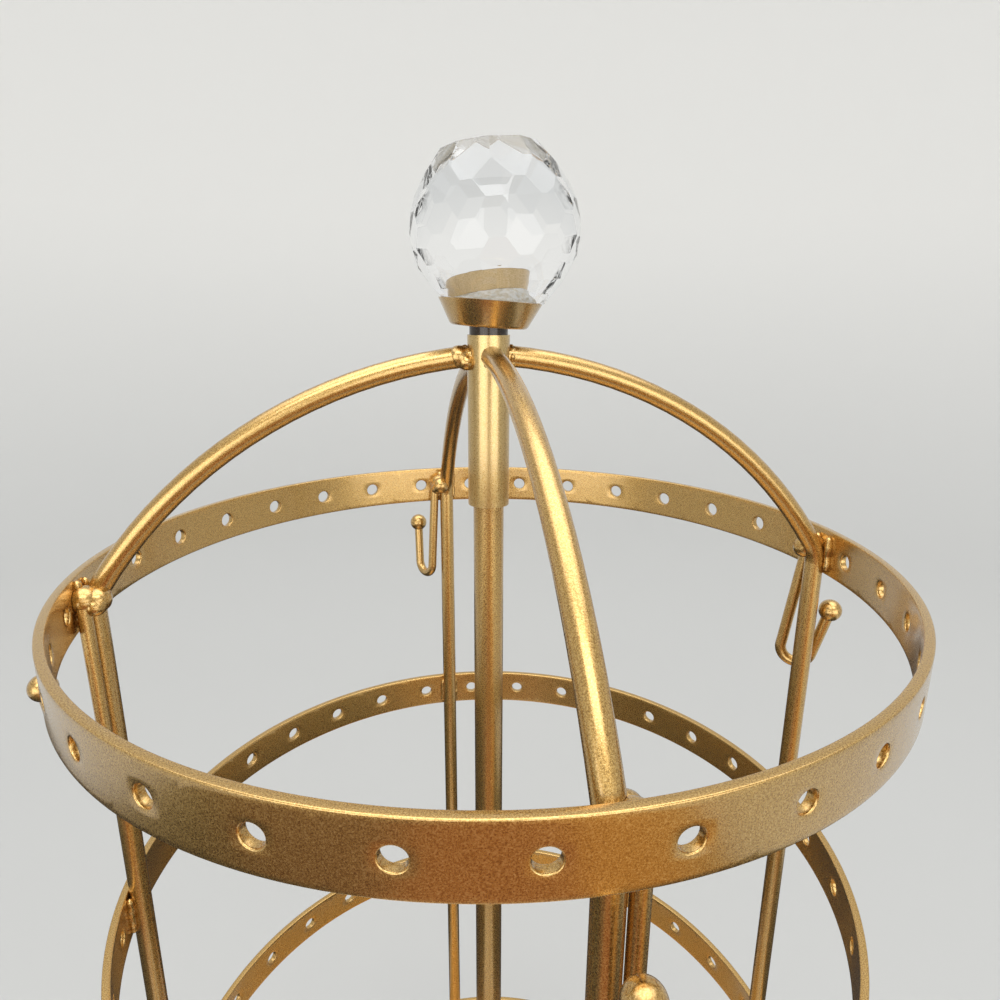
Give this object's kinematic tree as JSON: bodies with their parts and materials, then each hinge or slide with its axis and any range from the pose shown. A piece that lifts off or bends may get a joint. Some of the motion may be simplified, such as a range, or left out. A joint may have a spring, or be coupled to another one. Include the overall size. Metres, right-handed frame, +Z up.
{
  "type": "jewelry stand with drawer",
  "caption": "Turning cage of perforated hoops with ball-ended hooks and a cut-glass finial on a fixed post, over a square metal base with a lined drawer.",
  "frame": {"origin": "middle of the underside of the felt pad, under the post", "axes": "+Z up along the post; the drawer opens towards -Y; +X to the right seen from the drawer's side"},
  "size_m": [0.172, 0.188, 0.4098],
  "materials": {
    "gold_metal": "satin metallic gold paint with fine flake, baked on steel",
    "gold_turned": "turned and lacquered, satin gold",
    "zinc_steel": "zinc plated, bright",
    "crystal": "clear cut glass, polished facets",
    "velvet": "short black velvet pile",
    "felt": "pressed black felt"
  },
  "bodies": {
    "base": {"base_pad": "felt", "base_bottom_plate": "gold_metal", "base_shell": "gold_metal", "base_top_plate": "gold_metal", "drawer_runner_left": "gold_metal", "drawer_runner_right": "gold_metal", "drawer_stops": "gold_metal", "post": "gold_metal", "post_boss": "gold_turned", "post_backing_plate": "zinc_steel", "post_washer": "zinc_steel", "post_nut": "zinc_steel"},
    "drawer": {"drawer_tray": "gold_metal", "drawer_front": "gold_metal", "drawer_lining": "velvet", "drawer_knob": "gold_turned", "drawer_knob_screw": "zinc_steel"},
    "cage": {"sleeve": "gold_metal", "finial_stud": "zinc_steel", "finial_neck": "gold_turned", "finial_cup": "gold_turned", "crystal_ball": "crystal", "cage_rod_back": "gold_metal", "cage_rod_right": "gold_metal", "cage_rod_front": "gold_metal", "cage_rod_left": "gold_metal", "ring_1": "gold_metal", "ring_2": "gold_metal", "ring_3": "gold_metal", "ring_4": "gold_metal", "hook_back": "gold_metal", "hook_right": "gold_metal", "hook_front": "gold_metal", "hook_left": "gold_metal"}
  },
  "joints": [
    {"name": "cage_turn", "type": "hinge", "parent": "base", "child": "cage", "pos_m": [0, 0, 0.36725], "axis": [0, 0, 1], "continuous": true},
    {"name": "drawer_slide", "type": "slide", "parent": "base", "child": "drawer", "axis": [0, -1, 0], "range_m": [0, 0.105]}
  ]
}
